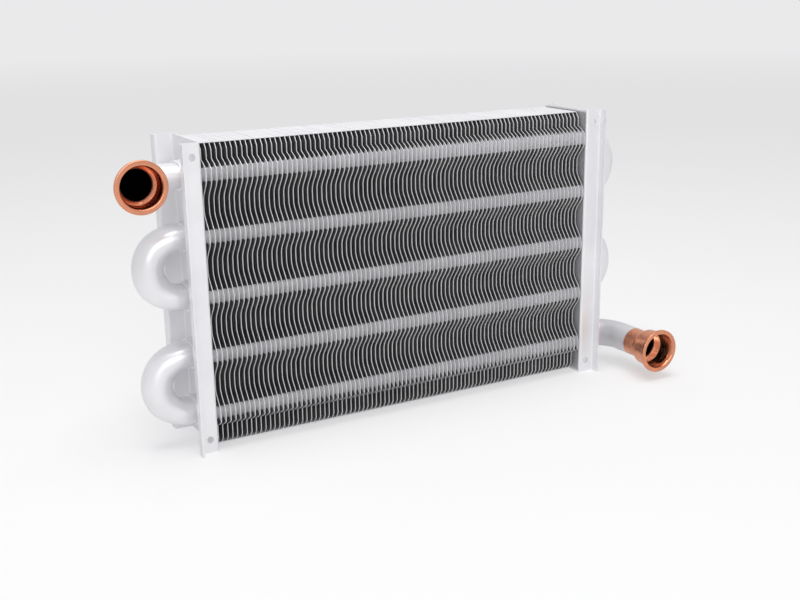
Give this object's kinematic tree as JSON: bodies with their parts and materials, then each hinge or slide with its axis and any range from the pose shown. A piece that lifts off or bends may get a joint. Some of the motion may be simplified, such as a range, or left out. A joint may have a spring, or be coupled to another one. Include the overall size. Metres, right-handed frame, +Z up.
{
  "type": "boiler heat exchanger",
  "caption": "Finned-tube water heat exchanger: a pack of thin upright fins on oval tubes in series, between two flanged side plates, with solder sockets.",
  "frame": {"origin": "centre of the four flange screw holes, on the front face of the front flanges", "axes": "+X along the tubes towards the outlet side, -Y out of the front, towards the mouths of the sockets, +Z up, towards the inlet end"},
  "size_m": [0.3629, 0.092, 0.18],
  "materials": {
    "side_plates": "satin silver heat-resistant paint on copper sheet",
    "fins": "thin satin silver heat-resistant paint on copper sheet",
    "tubes": "satin silver heat-resistant paint on copper tube",
    "return_bends": "satin silver heat-resistant paint on copper tube",
    "connection_pipes": "copper, painted silver next to the plates and bare at the sockets",
    "turbulators": "plain copper strip"
  },
  "bodies": {
    "root": {"left_side_plate": "side_plates", "right_side_plate": "side_plates", "fin_pack": "fins", "inlet_pipe": "connection_pipes", "outlet_pipe": "connection_pipes", "tube_1": "tubes", "tube_2": "tubes", "tube_3": "tubes", "tube_4": "tubes", "tube_5": "tubes", "return_bend_1_2": "return_bends", "return_bend_2_3": "return_bends", "return_bend_3_4": "return_bends", "return_bend_4_5": "return_bends", "turbulator_1": "turbulators", "turbulator_2": "turbulators", "turbulator_3": "turbulators", "turbulator_4": "turbulators", "turbulator_5": "turbulators"}
  },
  "joints": []
}
